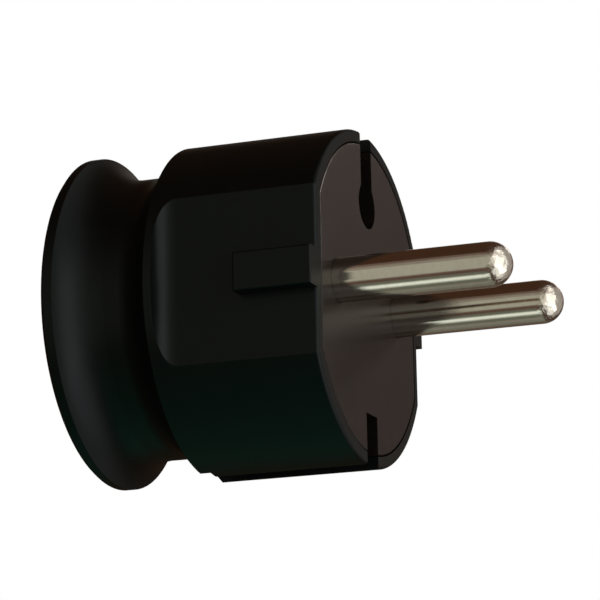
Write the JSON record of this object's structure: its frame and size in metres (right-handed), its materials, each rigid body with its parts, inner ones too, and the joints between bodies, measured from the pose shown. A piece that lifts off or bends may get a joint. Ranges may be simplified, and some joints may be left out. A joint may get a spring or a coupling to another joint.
{
  "type": "type f plug",
  "caption": "Rewirable mains plug, type F with an earth pin socket: flatted round body, finger groove, flat grip disc, two round pins and earth channels.",
  "frame": {"origin": "centre of the grip disc's flat back, the face that the plug stands on here", "axes": "+Z along the plug from the grip disc to the pin tips; the two pins lie on the Y axis, the line pin at -Y; the plain earth channel is at +X and the earth pin socket at -X"},
  "size_m": [0.0368, 0.0368, 0.0495],
  "materials": {
    "shell_plastic": "moulded, slightly glossy",
    "carrier_plastic": "moulded, slightly glossy",
    "pin_metal": "bright nickel plate",
    "plated_strip": "nickel plate",
    "terminal_brass": "machined",
    "screw_steel": "zinc plate",
    "clamp_plastic": "moulded, satin",
    "bush_rubber": "soft, matt"
  },
  "bodies": {
    "root": {"housing_shell": "shell_plastic", "contact_carrier": "carrier_plastic", "line_pin": "pin_metal", "neutral_pin": "pin_metal", "line_terminal_screw": "screw_steel", "neutral_terminal_screw": "screw_steel", "pin_retainer": "clamp_plastic", "retainer_screw": "screw_steel", "earth_strip": "plated_strip", "earth_socket": "plated_strip", "earth_terminal": "terminal_brass", "earth_terminal_screw": "screw_steel", "earth_terminal_rivet": "terminal_brass", "cord_clamp_base": "clamp_plastic", "cord_clamp_bridge": "clamp_plastic", "cord_clamp_screws": "screw_steel", "cable_inlet_bush": "bush_rubber", "housing_screws": "screw_steel", "housing_screw_washers": "screw_steel", "threaded_inserts": "terminal_brass"}
  },
  "joints": []
}
